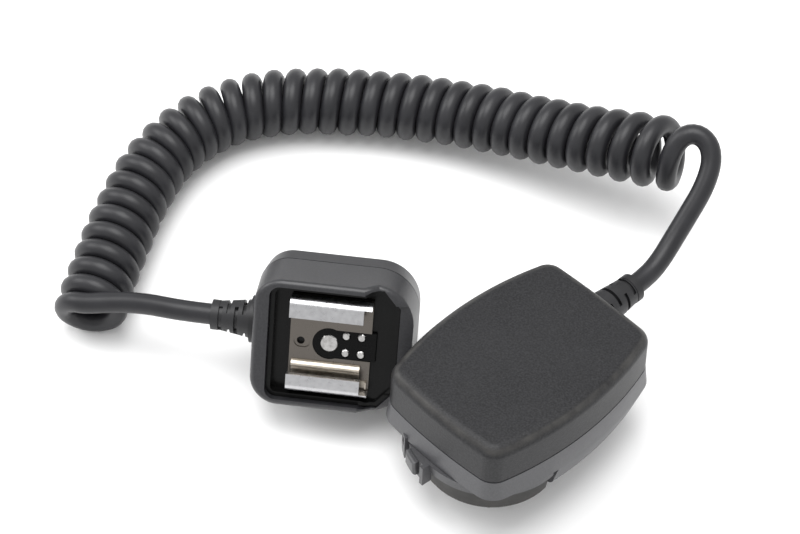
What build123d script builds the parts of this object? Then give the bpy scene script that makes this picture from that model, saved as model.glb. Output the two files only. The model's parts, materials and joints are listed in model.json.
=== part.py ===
from build123d import *
import math
import os

# Off-camera flash shoe cord, in millimetres, +Z up, standing on the plane Z = 0.
# The camera head rests on its foot and on the front edge of its housing, the flash head
# leans on its side edge and its cold foot, and the curly cord lies between them.

# ---------------------------------------------------------------- placing of the two heads
FLASH_AT = (-20.4, 6.8, 19.92)
FLASH_YAW = -7.5
FLASH_TILT = 55.5
CAMERA_AT = (17.8, -5.4, 1.04)
CAMERA_YAW = -47.0
CAMERA_PITCH = -7.0
CAMERA_ROLL = -6.0

# ---------------------------------------------------------------- accessory shoe standard
FOOT_WIDTH = 18.6
FOOT_PLATE = 2.0
FOOT_NECK_WIDTH = 12.3
SLOT_WIDTH = 18.8
SLOT_HEIGHT = 2.15
SLOT_GAP = 12.6
TRIPOD_THREAD_RADIUS = 3.175

# ---------------------------------------------------------------- cord
CORD_RADIUS = 2.25
COIL_RADIUS = 7.4
BORE_CLEARANCE = 0.05
FIT = 0.1

# ---------------------------------------------------------------- strain reliefs and clamps
RELIEF_FLANGE = 1.2
RELIEF_FLANGE_RADIUS = 5.0
RELIEF_NECK_RADIUS = 3.6
RELIEF_ROOT_RADIUS = 4.1
RELIEF_TIP_RADIUS = 3.1
FLASH_RELIEF_LENGTH = 9.6
CAMERA_RELIEF_LENGTH = 12.4
RELIEF_COLLAR = 1.6
RELIEF_COLLAR_RIM = 0.1
RELIEF_CORE_RADIUS = 2.7
RELIEF_SLOT_ANGLE = 116.0
RELIEF_ROOM = 3.0
RELIEF_SLOT = 0.8
RELIEF_SLOT_ROWS = 4
CLAMP_WALL = 0.8
CLAMP_LENGTH = 3.0
CLAMP_WIDTH = 11.0

# ---------------------------------------------------------------- flash head
FLASH_FRONT = -16.3
FLASH_REAR = 17.5
FLASH_HALF_WIDTH = 14.5
FLASH_RIM = 3.0
FLASH_SEAM = -8.5
SEAM_GROOVE_HEIGHT = 0.3
SEAM_GROOVE_DEPTH = 0.4
FLASH_BASE = -16.0
FLASH_WALL = 1.6
FLASH_DRAFT = 3.0
FRONT_CORNER = 6.5
REAR_CORNER = 9.0
RIM_STEP_START = 7.0
RIM_STEP_END = 9.6
RIM_REAR = 0.6
RIM_DROP = 0.6
RIM_ROUND = 1.2
WELL_TOP = 1.4
ENTRY_DROP = 0.3
LOWER_DRAFT = 4.0
BASE_ROUND = 2.0
BOSS_RADIUS = 2.1
WELL_FRONT = -12.5
WELL_REAR = 14.2
WELL_HALF_WIDTH = 12.5
WELL_FLARE = 0.6
WELL_WALL = 0.9
WELL_FLOOR = 1.2
DECK = 1.2
SHOE_PLATE = 1.0
RAIL_FRONT = -8.15
RAIL_REAR = 7.1
WING_REAR = 8.7
LIP = 1.25
RAIL_BEND = 1.8
SPRING_INNER = 4.1
SPRING_OUTER = 9.1
SPRING_HUMP = 0.85
SPRING_SHEET = 0.25
HUMP_START = 2.6
HUMP_CREST = 1.1
SPRING_HOOK = 1.0
PIN_PAD_LENGTH = 3.5
PIN_PAD_WIDTH = 2.8
PIN_PAD_DEPTH = 0.25
BLOCK_SINK = 0.2
BLOCK_FLANGE = 1.0
BOARD_THICKNESS = 1.0
BRACKET_SCREW_RADIUS = 0.7
CONTACT_CIRCLE = 3.45
CHANNEL_HALF_WIDTH = 3.15
CENTER_CONTACT_RADIUS = 1.85
DATA_CONTACT_RADIUS = 0.9
DATA_CONTACT_ROWS = (3.45, 6.65)
DATA_CONTACT_OFFSET = 1.9
PIN_HOLE_X = -5.9
PIN_HOLE_RADIUS = 0.82
CONTACT_DEPTH = 5.2
COLD_FOOT_LENGTH = 18.0
COLD_FOOT_NECK = 2.0
TRIPOD_SOCKET_DEPTH = 7.0
TRIPOD_INSERT_RADIUS = 4.6
HOUSING_SCREW_RADIUS = 0.9
HOUSING_SCREW_HEAD = 1.7
SCREW_HEAD_HEIGHT = 1.1

# ---------------------------------------------------------------- camera head
CAMERA_TOP = 28.0
CAMERA_SEAM = 19.0
LIP_BOTTOM = 14.0
HULL_BOTTOM = 7.6
BLOCK_BOTTOM = 5.2
CAMERA_REAR = -22.7
CAMERA_FRONT = 24.0
REAR_HALF_WIDTH = 15.0
FRONT_HALF_WIDTH = 14.4
SIDE_HALF_WIDTH = 18.4
REAR_BOW = 1.0
FRONT_BOW = 0.4
CAMERA_CORNER = 4.2
CAMERA_WALL = 1.7
COVER_EDGE = 2.4
COVER_DRAFT = 1.5
LIP_FLARE = 0.6
HULL_DRAW_IN = 0.9
HULL_ROUND = 2.2
HULL_REAR = -7.0
CAMERA_FLOOR = 1.6
NOSE_BULKHEAD = 9.0
FRONT_SCREW_SINK = 6.0
RELIEF_X = -2.0
FOOT_Y = -7.5
FOOT_LENGTH = 18.0
LEVER_PIVOT = (1.5, -8.7)
LEVER_RADIUS = 16.4
LEVER_BAND = 2.0
LEVER_BOTTOM = 11.7
LEVER_GAP = 0.15
LEVER_TRAVEL = 35.0
BOOT_RADIUS = 15.4
BOOT_BOTTOM = 4.8
BOOT_WALL = 1.6
PLINTH_RADIUS = 13.5
BOOT_DRAW_IN = 1.0
BOOT_ROUND = 1.2
TONGUE_TIP = 8.4
TONGUE_ANGLE = 76.0
WINDOW_FIRST = 65.0
WINDOW_LAST = 122.0
STOP_RADIUS = 18.2
STOP_BOTTOM = 8.6
STOP_FIRST = -128.0
STOP_LAST = -119.0
THUMB_BOTTOM = 8.6
THUMB_FIRST = -117.0
THUMB_LAST = -94.0
THUMB_RADIUS = 17.4
RIB_RADIUS = 18.2
RIB_WIDTH = 3.0
BUTTON_FIRST = -114.5
BUTTON_LAST = -102.0
BUTTON_SEAT = 16.1
BUTTON_RADIUS = 18.6
BUTTON_TRAVEL = 0.7
BUTTON_ROUND = 0.7
PIN_BAY_WIDTH = 7.0
PIN_BAY_LENGTH = 12.0
PIN_BAY_FLOOR = 9.2
PIN_HEAD = 0.8
PIN_HEAD_RIM = 0.35
FOOT_PIN_RADIUS = 1.1
FOOT_DATA_PIN_RADIUS = 0.6
INSERT_WIDTH = 7.4
INSERT_LENGTH = 12.6
FOOT_SCREW_RADIUS = 0.8
FOOT_SCREW_HEAD = 1.4
FOOT_SCREW_HEAD_HEIGHT = 0.8
FOOT_SCREW_BITE = 3.0
LEAF_SHEET = 0.3
SPRING_WIRE = 0.25
BOARD_BOTTOM = 13.0
BOARD_WIDTH = 6.4
BOARD_LENGTH = 11.4
LOCK_PIN_TIP = 0.3
LOCK_PIN_TOP = 13.8
foot_screw_places = [(-7.0, -6.6), (7.0, -6.6), (-4.6, 6.6), (4.6, 6.6)]
LOCK_PIN_RADIUS = 0.75
LOCK_PIN_Y = 5.9
LOCK_PIN_TRAVEL = 1.6
PIN_TRAVEL = 0.6
PIN_STANDS_OUT = 0.6

# ---------------------------------------------------------------- local frames
flash = Plane(Location(FLASH_AT, (0, 0, FLASH_YAW)) * Location((0, 0, 0), (FLASH_TILT, 0, 0)))
camera = Plane(
    Location(CAMERA_AT, (0, 0, CAMERA_YAW))
    * Location((0, 0, 0), (CAMERA_PITCH, 0, 0))
    * Location((0, 0, 0), (0, CAMERA_ROLL, 0))
)
flash_up = Axis(flash.origin, flash.z_dir)
camera_up = Axis(camera.origin, camera.z_dir)


def shifted(plane, x=0.0, y=0.0, z=0.0):
    """The plane moved along its own axes."""
    return Plane(plane.location * Location((x, y, z)))


def along_x(plane, x=0.0, y=0.0, z=0.0):
    """A plane whose normal is the head's +X, with its own X along the head's +Y."""
    return Plane(plane.location * Location((x, y, z)) * Plane.YZ.location)


def along_y(plane, x=0.0, y=0.0, z=0.0):
    """A plane whose normal is the head's +Y, with its own X along the head's -X."""
    return Plane(plane.location * Location((x, y, z)) * Plane.XZ.location * Location((0, 0, 0), (0, 180, 0)))


def reach_from(plane, point):
    """Distance of a point from the plane's normal axis."""
    local = plane.to_local_coords(point)
    return math.hypot(local.X, local.Y)


os.makedirs("parts", exist_ok=True)


# ================================================================ shared outlines and small parts
def flash_outline(grow=0.0):
    """Plan of the flash head's housing, tight at the cord end and rounder at the open end."""
    with BuildSketch() as outline:
        with Locations(((FLASH_FRONT + FLASH_REAR) / 2, 0)):
            Rectangle(FLASH_REAR - FLASH_FRONT, 2 * FLASH_HALF_WIDTH)
        fillet(outline.vertices().group_by(Axis.X)[0], FRONT_CORNER)
        fillet(outline.vertices().group_by(Axis.X)[-1], REAR_CORNER)
        if grow:
            offset(amount=grow)
    return outline.sketch


def well_outline(grow=0.0):
    """Plan of the recess around the shoe, which flares where the mating foot slides in."""
    flare_start = RIM_STEP_START
    flare_end = RIM_STEP_START + 2 * WELL_FLARE
    wide = WELL_HALF_WIDTH + WELL_FLARE
    with BuildSketch() as outline:
        with BuildLine():
            Polyline(
                (WELL_FRONT, 0),
                (WELL_FRONT, WELL_HALF_WIDTH),
                (flare_start, WELL_HALF_WIDTH),
                (flare_end, wide),
                (WELL_REAR - 3.5, wide),
                (WELL_REAR, wide - 4.0),
                (WELL_REAR, 0),
            )
            mirror(about=Plane.XZ)
        make_face()
        fillet(outline.vertices().group_by(Axis.X)[0], 2.2)
        if grow:
            offset(amount=grow)
    return outline.sketch


def contact_outline(grow=0.0):
    """Plan of the shoe's insulator: a disc that runs into a channel towards the open end."""
    with BuildSketch() as outline:
        Circle(CONTACT_CIRCLE + grow)
        with Locations(((WING_REAR + 1.0 + grow) / 2, 0)):
            Rectangle(WING_REAR + 1.0 + grow, 2 * (CHANNEL_HALF_WIDTH + grow))
    return outline.sketch


def camera_outline(grow=0.0):
    """Plan of the camera head's housing: four bowed sides with rounded corners."""
    rear = CAMERA_REAR - grow
    front = CAMERA_FRONT + grow
    rear_half = REAR_HALF_WIDTH + grow
    front_half = FRONT_HALF_WIDTH + grow
    side_half = SIDE_HALF_WIDTH + grow
    waist = (rear + front) / 2 - 1.0
    with BuildSketch() as outline:
        with BuildLine():
            ThreePointArc((-rear_half, rear), (0, rear - REAR_BOW), (rear_half, rear))
            ThreePointArc((rear_half, rear), (side_half, waist), (front_half, front))
            ThreePointArc((front_half, front), (0, front + FRONT_BOW), (-front_half, front))
            ThreePointArc((-front_half, front), (-side_half, waist), (-rear_half, rear))
        make_face()
        fillet(outline.vertices(), CAMERA_CORNER + grow)
    return outline.sketch


def ring_sector(inner, outer, first_angle, last_angle):
    """A flat ring sector about the origin, between two angles in degrees."""
    steps = max(2, math.ceil((last_angle - first_angle) / 60) + 1)
    reach = 2 * outer
    with BuildSketch() as sector:
        Circle(outer)
        if inner > 0:
            Circle(inner, mode=Mode.SUBTRACT)
        with BuildLine(mode=Mode.PRIVATE) as fan:
            rays = [(0, 0)]
            for step in range(steps):
                angle = math.radians(first_angle + (last_angle - first_angle) * step / (steps - 1))
                rays.append((reach * math.cos(angle), reach * math.sin(angle)))
            Polyline(*rays, close=True)
        add(make_face(fan.edges(), mode=Mode.PRIVATE), mode=Mode.INTERSECT)
    return sector.sketch


def screw(plane, places, shank_radius, shank, head_radius, head):
    """Pan-head cross-recess screws. The plane lies under the heads, its normal along the shanks."""
    with BuildPart() as screws:
        for x, y in places:
            with BuildSketch(shifted(plane, x, y, -head)):
                Circle(head_radius)
            extrude(amount=head)
            with BuildSketch(shifted(plane, x, y)):
                Circle(shank_radius)
            extrude(amount=shank)
            with BuildSketch(shifted(plane, x, y, -head)):
                Rectangle(1.3 * head_radius, 0.3 * head_radius)
                Rectangle(0.3 * head_radius, 1.3 * head_radius)
            extrude(amount=0.5 * head, mode=Mode.SUBTRACT)
    return screws.part


def relief(plane, wall, length):
    """Moulded strain relief. The plane lies on the housing's outer face, its normal outwards."""
    with BuildPart() as boot:
        with BuildSketch(shifted(plane, z=-wall - RELIEF_FLANGE)):
            Circle(RELIEF_FLANGE_RADIUS)
        extrude(amount=RELIEF_FLANGE)
        with BuildSketch(shifted(plane, z=-wall)):
            Circle(RELIEF_NECK_RADIUS)
        extrude(amount=wall)
        with BuildSketch(plane):
            Circle(RELIEF_FLANGE_RADIUS)
        extrude(amount=RELIEF_FLANGE)
        with BuildSketch(shifted(plane, z=RELIEF_FLANGE)):
            Circle(RELIEF_ROOT_RADIUS)
        with BuildSketch(shifted(plane, z=length - RELIEF_COLLAR)):
            Circle(RELIEF_TIP_RADIUS)
        loft()
        with BuildSketch(shifted(plane, z=length - RELIEF_COLLAR)):
            Circle(RELIEF_TIP_RADIUS + RELIEF_COLLAR_RIM)
        extrude(amount=RELIEF_COLLAR)
        span = length - RELIEF_COLLAR - RELIEF_FLANGE
        for row in range(RELIEF_SLOT_ROWS):
            height = RELIEF_FLANGE + span * (row + 0.5) / RELIEF_SLOT_ROWS
            turn = 90 * (row % 2)
            for side in (0, 180):
                first = turn + side - RELIEF_SLOT_ANGLE / 2
                with BuildSketch(shifted(plane, z=height)):
                    add(ring_sector(RELIEF_CORE_RADIUS, 2 * RELIEF_ROOT_RADIUS, first, first + RELIEF_SLOT_ANGLE))
                extrude(amount=RELIEF_SLOT, mode=Mode.SUBTRACT)
        with BuildSketch(shifted(plane, z=-wall - RELIEF_FLANGE)):
            Circle(CORD_RADIUS + BORE_CLEARANCE)
        extrude(amount=wall + RELIEF_FLANGE + length, mode=Mode.SUBTRACT)
    return boot.part


def relief_seat(plane, wall):
    """Room in a housing for a strain relief: its two flanges and the neck between them."""
    with BuildPart() as seat:
        with BuildSketch(shifted(plane, z=-wall - RELIEF_ROOM)):
            Circle(RELIEF_FLANGE_RADIUS + FIT)
        extrude(amount=RELIEF_ROOM)
        with BuildSketch(shifted(plane, z=-wall)):
            Circle(RELIEF_NECK_RADIUS + FIT)
        extrude(amount=wall)
        with BuildSketch(plane):
            Circle(RELIEF_FLANGE_RADIUS + FIT)
        extrude(amount=RELIEF_ROOM)
    return seat.part


def cable_clamp(plane):
    """Saddle clamp over the cord with two ears. The plane's normal runs along the cord."""
    with BuildPart() as clamp:
        with BuildSketch(plane):
            Circle(CORD_RADIUS + BORE_CLEARANCE + CLAMP_WALL)
            with Locations((0, -CORD_RADIUS - BORE_CLEARANCE + 1.0)):
                Rectangle(CLAMP_WIDTH, 2 * CLAMP_WALL)
            Circle(CORD_RADIUS + BORE_CLEARANCE, mode=Mode.SUBTRACT)
        extrude(amount=CLAMP_LENGTH)
    return clamp.part


# ================================================================ flash head, outer shells
screw_places = [(-11.6, -9.8), (-11.6, 9.8), (12.2, -8.6), (12.2, 8.6)]
tripod_boss_radius = TRIPOD_INSERT_RADIUS + 1.6
shell_depth = FLASH_RIM - FLASH_SEAM
ceiling = -SHOE_PLATE - WELL_FLOOR - DECK
entry_half_width = SLOT_WIDTH / 2 + 0.7
bracket_screws = [(-6.2, -7.9), (-6.2, 7.9), (5.6, -7.9), (5.6, 7.9)]
relief_at_flash = along_x(flash, x=FLASH_FRONT, z=FLASH_SEAM)
relief_out_flash = Plane(origin=relief_at_flash.origin, x_dir=relief_at_flash.x_dir, z_dir=-relief_at_flash.z_dir)

with BuildPart() as flash_upper_shell:
    with BuildSketch(flash.offset(FLASH_SEAM)):
        add(flash_outline())
    extrude(amount=shell_depth, taper=FLASH_DRAFT)
    # the rim steps down towards the open end
    with BuildSketch(along_y(flash)):
        with BuildLine():
            Polyline(
                (-RIM_STEP_START, FLASH_RIM),
                (-RIM_STEP_END, RIM_REAR),
                (-FLASH_REAR - 5, RIM_REAR),
                (-FLASH_REAR - 5, FLASH_RIM + 5),
                (-RIM_STEP_START, FLASH_RIM + 5),
                close=True,
            )
        make_face()
    extrude(amount=2 * FLASH_HALF_WIDTH, both=True, mode=Mode.SUBTRACT)
    rim_edges = flash_upper_shell.faces().filter_by(lambda f: f.normal_at().dot(flash.z_dir) > 0.5).edges()
    fillet(
        rim_edges.filter_by(
            lambda e: abs(flash.to_local_coords(e.center()).Y) > 5
            or flash.to_local_coords(e.center()).X < FLASH_FRONT + 3
            or flash.to_local_coords(e.center()).X > FLASH_REAR - 3
        ),
        RIM_ROUND,
    )
    # recess for the shoe well, the entry for the mating foot and the cavity below the deck
    with BuildSketch(flash.offset(ceiling + DECK)):
        add(well_outline())
    extrude(amount=shell_depth, mode=Mode.SUBTRACT)
    with BuildSketch(flash.offset(-ENTRY_DROP)):
        with Locations((FLASH_REAR, 0)):
            Rectangle(2 * (FLASH_REAR - WELL_REAR) + 2, 2 * entry_half_width)
    extrude(amount=shell_depth, mode=Mode.SUBTRACT)
    with BuildSketch(flash.offset(FLASH_SEAM)):
        add(flash_outline(-FLASH_WALL))
    extrude(amount=ceiling - FLASH_SEAM, mode=Mode.SUBTRACT)
    with BuildSketch(flash.offset(ceiling)):
        add(contact_outline(FIT))
    extrude(amount=DECK, mode=Mode.SUBTRACT)
    # screw bosses
    for x, y in screw_places:
        with BuildSketch(shifted(flash, x, y, FLASH_SEAM)):
            Circle(BOSS_RADIUS)
        extrude(amount=ceiling - FLASH_SEAM)
        with BuildSketch(shifted(flash, x, y, FLASH_SEAM)):
            Circle(HOUSING_SCREW_RADIUS)
        extrude(amount=ceiling - FLASH_SEAM - 0.6, mode=Mode.SUBTRACT)
    for x, y in bracket_screws:
        with BuildSketch(shifted(flash, x, y, ceiling)):
            Circle(BRACKET_SCREW_RADIUS + FIT)
        extrude(amount=DECK, mode=Mode.SUBTRACT)
    add(relief_seat(relief_out_flash, FLASH_WALL), mode=Mode.SUBTRACT)
flash_upper_shell.part.label = "flash_upper_shell"
export_step(flash_upper_shell.part, "parts/flash_upper_shell.step")

with BuildPart() as flash_lower_shell:
    with BuildSketch(Plane(flash.offset(FLASH_SEAM).location * Location((0, 0, 0), (180, 0, 0)))):
        add(flash_outline())
    extrude(amount=FLASH_SEAM - FLASH_BASE, taper=LOWER_DRAFT)
    fillet(flash_lower_shell.faces().sort_by(flash_up)[0].edges(), BASE_ROUND)
    with BuildSketch(flash.offset(FLASH_BASE + FLASH_WALL)):
        add(flash_outline(-FLASH_WALL - 0.5))
    extrude(amount=FLASH_SEAM - FLASH_BASE - FLASH_WALL, mode=Mode.SUBTRACT)
    for x, y in screw_places:
        with BuildSketch(shifted(flash, x, y, FLASH_BASE + FLASH_WALL)):
            Circle(BOSS_RADIUS)
        extrude(amount=FLASH_SEAM - FLASH_BASE - FLASH_WALL)
        with BuildSketch(shifted(flash, x, y, FLASH_BASE)):
            Circle(HOUSING_SCREW_RADIUS + FIT)
        extrude(amount=FLASH_SEAM - FLASH_BASE, mode=Mode.SUBTRACT)
        with BuildSketch(shifted(flash, x, y, FLASH_BASE)):
            Circle(HOUSING_SCREW_HEAD + 0.2)
        extrude(amount=SCREW_HEAD_HEIGHT + 0.2, mode=Mode.SUBTRACT)
    with BuildSketch(flash.offset(FLASH_BASE + FLASH_WALL)):
        Circle(tripod_boss_radius)
    extrude(amount=TRIPOD_SOCKET_DEPTH - COLD_FOOT_NECK - FOOT_PLATE - FLASH_WALL + 1.0)
    with BuildSketch(flash.offset(FLASH_BASE)):
        Circle(TRIPOD_INSERT_RADIUS + BORE_CLEARANCE)
    extrude(amount=TRIPOD_SOCKET_DEPTH - COLD_FOOT_NECK - FOOT_PLATE + 0.1, mode=Mode.SUBTRACT)
    # shadow groove along the seam
    with BuildSketch(flash.offset(FLASH_SEAM - SEAM_GROOVE_HEIGHT)):
        add(flash_outline())
        add(flash_outline(-SEAM_GROOVE_DEPTH), mode=Mode.SUBTRACT)
    extrude(amount=SEAM_GROOVE_HEIGHT, mode=Mode.SUBTRACT)
    add(relief_seat(relief_out_flash, FLASH_WALL), mode=Mode.SUBTRACT)
flash_lower_shell.part.label = "flash_lower_shell"
export_step(flash_lower_shell.part, "parts/flash_lower_shell.step")

# ================================================================ flash head, shoe
with BuildPart() as shoe_well:
    with BuildSketch(flash.offset(ceiling + DECK)):
        add(well_outline(-FIT))
    extrude(amount=WELL_FLOOR + SHOE_PLATE + WELL_TOP)
    with BuildSketch(flash.offset(-SHOE_PLATE)):
        add(well_outline(-FIT - WELL_WALL))
    extrude(amount=SHOE_PLATE + WELL_TOP, mode=Mode.SUBTRACT)
    with BuildSketch(along_y(flash)):
        with BuildLine():
            Polyline(
                (-RIM_STEP_START, WELL_TOP),
                (-RIM_STEP_END, RIM_REAR - RIM_DROP),
                (-FLASH_REAR, RIM_REAR - RIM_DROP),
                (-FLASH_REAR, FLASH_RIM),
                (-RIM_STEP_START, FLASH_RIM),
                close=True,
            )
        make_face()
    extrude(amount=2 * FLASH_HALF_WIDTH, both=True, mode=Mode.SUBTRACT)
    with BuildSketch(flash.offset(-ENTRY_DROP)):
        with Locations((FLASH_REAR, 0)):
            Rectangle(2 * (FLASH_REAR - WELL_REAR) + 8, 2 * entry_half_width)
    extrude(amount=shell_depth, mode=Mode.SUBTRACT)
    with BuildSketch(flash.offset(ceiling + DECK)):
        add(contact_outline(FIT))
    extrude(amount=WELL_FLOOR, mode=Mode.SUBTRACT)
    for x, y in bracket_screws:
        with BuildSketch(shifted(flash, x, y, ceiling + DECK)):
            Circle(BRACKET_SCREW_RADIUS + FIT)
        extrude(amount=WELL_FLOOR, mode=Mode.SUBTRACT)
shoe_well.part.label = "shoe_well"
export_step(shoe_well.part, "parts/shoe_well.step")

rail_half = SLOT_WIDTH / 2 + SHOE_PLATE
with BuildPart() as shoe_bracket:
    with BuildSketch(along_x(flash, x=RAIL_FRONT)) as section:
        with BuildLine():
            Polyline(
                (0, -SHOE_PLATE),
                (rail_half, -SHOE_PLATE),
                (rail_half, SLOT_HEIGHT + LIP),
                (SLOT_GAP / 2, SLOT_HEIGHT + LIP),
                (SLOT_GAP / 2, SLOT_HEIGHT),
                (SLOT_WIDTH / 2, SLOT_HEIGHT),
                (SLOT_WIDTH / 2, 0),
                (0, 0),
            )
            mirror(about=Plane.YZ)
        make_face()
        tops = section.vertices().filter_by_position(Axis.Y, SLOT_HEIGHT + LIP - 0.1, SLOT_HEIGHT + LIP + 0.1)
        fillet(tops.filter_by(lambda v: abs(v.X) > rail_half - 0.1), RAIL_BEND)
        fillet(section.vertices().filter_by_position(Axis.Y, -SHOE_PLATE - 0.1, -SHOE_PLATE + 0.1), 0.8)
    extrude(amount=WING_REAR - RAIL_FRONT)
    # the lips end before the side walls do
    with BuildSketch(flash.offset(SLOT_HEIGHT)):
        with Locations((RAIL_REAR + 2, 0)):
            Rectangle(4, 2 * (rail_half - SHOE_PLATE))
    extrude(amount=2 * LIP, mode=Mode.SUBTRACT)
    with BuildSketch(flash.offset(-SHOE_PLATE)):
        add(contact_outline())
    extrude(amount=SHOE_PLATE, mode=Mode.SUBTRACT)
    with BuildSketch(shifted(flash, x=PIN_HOLE_X + 0.3, z=-PIN_PAD_DEPTH)):
        SlotOverall(PIN_PAD_LENGTH, PIN_PAD_WIDTH)
    extrude(amount=SHOE_PLATE, mode=Mode.SUBTRACT)
    with BuildSketch(shifted(flash, x=PIN_HOLE_X, z=-SHOE_PLATE)):
        Circle(PIN_HOLE_RADIUS)
    extrude(amount=SHOE_PLATE, mode=Mode.SUBTRACT)
    for x, y in bracket_screws:
        with BuildSketch(shifted(flash, x, y, -SHOE_PLATE)):
            Circle(BRACKET_SCREW_RADIUS)
        extrude(amount=SHOE_PLATE, mode=Mode.SUBTRACT)
shoe_bracket.part.label = "shoe_bracket"
export_step(shoe_bracket.part, "parts/shoe_bracket.step")

with BuildPart() as shoe_leaf_spring:
    # a thin sheet under the near lip, humped along its inner edge to press the foot up
    with BuildSketch(along_x(flash, x=RAIL_FRONT + 0.6)):
        for lift in (SPRING_SHEET, 0):
            with BuildLine():
                hump = Spline(
                    (-SPRING_INNER - HUMP_START, lift),
                    (-SPRING_INNER - HUMP_CREST, SPRING_HUMP + lift),
                    (-SPRING_INNER, lift),
                    tangents=((1, 0), (1, -2)),
                )
                Polyline(
                    hump @ 1,
                    (-SPRING_INNER, -0.5),
                    (-SPRING_OUTER, -0.5),
                    (-SPRING_OUTER, lift),
                    hump @ 0,
                )
            make_face(mode=Mode.ADD if lift else Mode.SUBTRACT)
        with Locations((0, -1.0)):
            Rectangle(SLOT_WIDTH, 2.0, mode=Mode.SUBTRACT)
    extrude(amount=RAIL_REAR - RAIL_FRONT - 1.0)
    with BuildSketch(shifted(flash, x=RAIL_REAR, y=-SPRING_OUTER + 0.9, z=0)):
        Rectangle(2.4, 1.4)
    extrude(amount=SPRING_SHEET)
    with BuildSketch(shifted(flash, x=RAIL_REAR + 1.05, y=-SPRING_OUTER + 0.9, z=0)):
        Rectangle(0.3, 1.4)
    extrude(amount=SPRING_HOOK)
shoe_leaf_spring.part.label = "shoe_leaf_spring"
export_step(shoe_leaf_spring.part, "parts/shoe_leaf_spring.step")

with BuildPart() as shoe_contact_block:
    with BuildSketch(flash.offset(ceiling - BLOCK_FLANGE)):
        add(contact_outline())
    extrude(amount=BLOCK_FLANGE - ceiling - BLOCK_SINK)
    with BuildSketch(flash.offset(ceiling - BLOCK_FLANGE)):
        with Locations((2.6, 0)):
            Rectangle(18.0, 10.0)
    extrude(amount=BLOCK_FLANGE)
    with Locations(shifted(flash, z=-BLOCK_SINK).location):
        Cylinder(CENTER_CONTACT_RADIUS + BORE_CLEARANCE, 2 * CONTACT_DEPTH, mode=Mode.SUBTRACT)
    for x in DATA_CONTACT_ROWS:
        for y in (-DATA_CONTACT_OFFSET, DATA_CONTACT_OFFSET):
            with Locations(shifted(flash, x, y).location):
                Cylinder(DATA_CONTACT_RADIUS + BORE_CLEARANCE, 2 * CONTACT_DEPTH, mode=Mode.SUBTRACT)
shoe_contact_block.part.label = "shoe_contact_block"
export_step(shoe_contact_block.part, "parts/shoe_contact_block.step")

with BuildPart() as shoe_center_contact:
    with BuildSketch(flash.offset(-CONTACT_DEPTH)):
        Circle(CENTER_CONTACT_RADIUS)
    extrude(amount=CONTACT_DEPTH - 0.05)
    chamfer(shoe_center_contact.edges().sort_by(flash_up)[-1], 0.15)
shoe_center_contact.part.label = "shoe_center_contact"
export_step(shoe_center_contact.part, "parts/shoe_center_contact.step")

with BuildPart() as shoe_data_contacts:
    for x in DATA_CONTACT_ROWS:
        for y in (-DATA_CONTACT_OFFSET, DATA_CONTACT_OFFSET):
            with BuildSketch(shifted(flash, x, y, -CONTACT_DEPTH)):
                Circle(DATA_CONTACT_RADIUS)
            extrude(amount=CONTACT_DEPTH - 0.05)
    chamfer(shoe_data_contacts.edges().group_by(flash_up)[-1], 0.25)
shoe_data_contacts.part.label = "shoe_data_contacts"
export_step(shoe_data_contacts.part, "parts/shoe_data_contacts.step")

shoe_bracket_screws = screw(
    flash.offset(ceiling), bracket_screws, BRACKET_SCREW_RADIUS, -ceiling - 0.1, 1.3, 0.9
)
shoe_bracket_screws.label = "shoe_bracket_screws"
export_step(shoe_bracket_screws, "parts/shoe_bracket_screws.step")

with BuildPart() as flash_circuit_board:
    with BuildSketch(flash.offset(-CONTACT_DEPTH - BOARD_THICKNESS)):
        with Locations((2.6, 0)):
            Rectangle(19.0, 13.0)
    extrude(amount=BOARD_THICKNESS)
flash_circuit_board.part.label = "flash_circuit_board"
export_step(flash_circuit_board.part, "parts/flash_circuit_board.step")

# ================================================================ flash head, base
with BuildPart() as cold_foot:
    with BuildSketch(flash.offset(FLASH_BASE - COLD_FOOT_NECK)):
        with Locations((0.6, 0)):
            RectangleRounded(COLD_FOOT_LENGTH - 1.5, FOOT_NECK_WIDTH, 1.0)
    extrude(amount=COLD_FOOT_NECK)
    with BuildSketch(flash.offset(FLASH_BASE - COLD_FOOT_NECK - FOOT_PLATE)):
        with Locations((0.6, 0)):
            RectangleRounded(COLD_FOOT_LENGTH, FOOT_WIDTH, 1.5)
    extrude(amount=FOOT_PLATE)
    with Locations(flash.offset(FLASH_BASE).location):
        Cylinder(TRIPOD_INSERT_RADIUS + BORE_CLEARANCE, 3 * (COLD_FOOT_NECK + FOOT_PLATE), mode=Mode.SUBTRACT)
cold_foot.part.label = "cold_foot"
export_step(cold_foot.part, "parts/cold_foot.step")

with BuildPart() as tripod_socket:
    with BuildSketch(flash.offset(FLASH_BASE - COLD_FOOT_NECK - FOOT_PLATE)):
        Circle(TRIPOD_INSERT_RADIUS)
        Circle(TRIPOD_THREAD_RADIUS, mode=Mode.SUBTRACT)
    extrude(amount=TRIPOD_SOCKET_DEPTH)
    with BuildSketch(flash.offset(FLASH_BASE - COLD_FOOT_NECK - FOOT_PLATE + TRIPOD_SOCKET_DEPTH - 0.8)):
        Circle(TRIPOD_INSERT_RADIUS - 0.2)
    extrude(amount=0.8)
tripod_socket.part.label = "tripod_socket"
export_step(tripod_socket.part, "parts/tripod_socket.step")

flash_housing_screws = screw(
    flash.offset(FLASH_BASE + SCREW_HEAD_HEIGHT + 0.2),
    screw_places,
    HOUSING_SCREW_RADIUS,
    ceiling - FLASH_BASE - SCREW_HEAD_HEIGHT - 1.2,
    HOUSING_SCREW_HEAD,
    SCREW_HEAD_HEIGHT,
)
flash_housing_screws.label = "flash_housing_screws"
export_step(flash_housing_screws, "parts/flash_housing_screws.step")

flash_strain_relief = relief(relief_out_flash, FLASH_WALL, FLASH_RELIEF_LENGTH)
flash_strain_relief.label = "flash_strain_relief"
export_step(flash_strain_relief, "parts/flash_strain_relief.step")

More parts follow.
